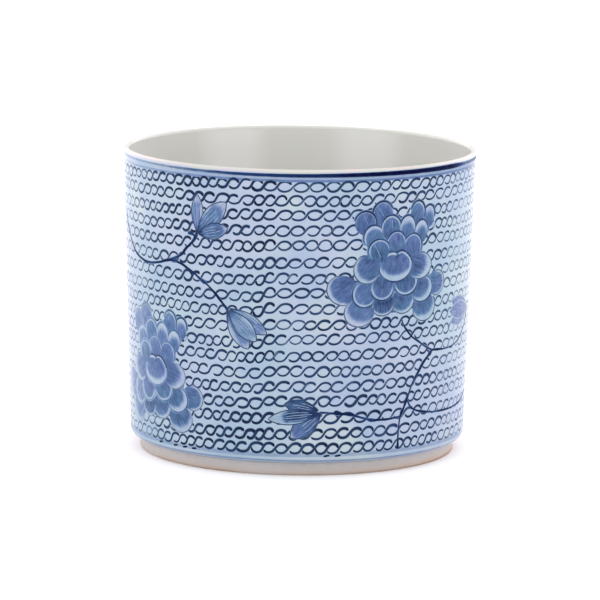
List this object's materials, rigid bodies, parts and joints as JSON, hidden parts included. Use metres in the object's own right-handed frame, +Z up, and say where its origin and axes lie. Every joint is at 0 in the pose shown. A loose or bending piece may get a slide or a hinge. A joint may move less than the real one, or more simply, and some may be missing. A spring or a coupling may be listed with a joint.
{
  "type": "brush holder pot",
  "caption": "Cylindrical porcelain pot on a low foot ring that holds writing brushes upright on a desk.",
  "frame": {"origin": "middle of the resting face, under the foot ring", "axes": "+Z up along the pot's axis of revolution; -Y is the side painted with the two hydrangea sprays"},
  "size_m": [0.2, 0.2, 0.172],
  "materials": {
    "porcelain_body": "matt fired porcelain body",
    "bare_clay": "unglazed, smooth turned, with a faint orange flush",
    "blue_white_glaze": "glossy, faintly blue glaze over painted cobalt",
    "clear_glaze": "glossy greyish white glaze",
    "lip_glaze": "thin glossy cream glaze",
    "cobalt": "dark cobalt painting under glossy glaze",
    "cobalt_wash": "diluted cobalt wash under glossy glaze"
  },
  "bodies": {
    "root": {"foot_ring": "bare_clay", "floor": "porcelain_body", "wall": "porcelain_body", "base_glaze": "clear_glaze", "outer_glaze": "blue_white_glaze", "inner_glaze": "clear_glaze", "lip_glaze": "lip_glaze", "rim_line": "cobalt", "rim_wash": "cobalt_wash", "foot_wash": "cobalt_wash"}
  },
  "joints": []
}
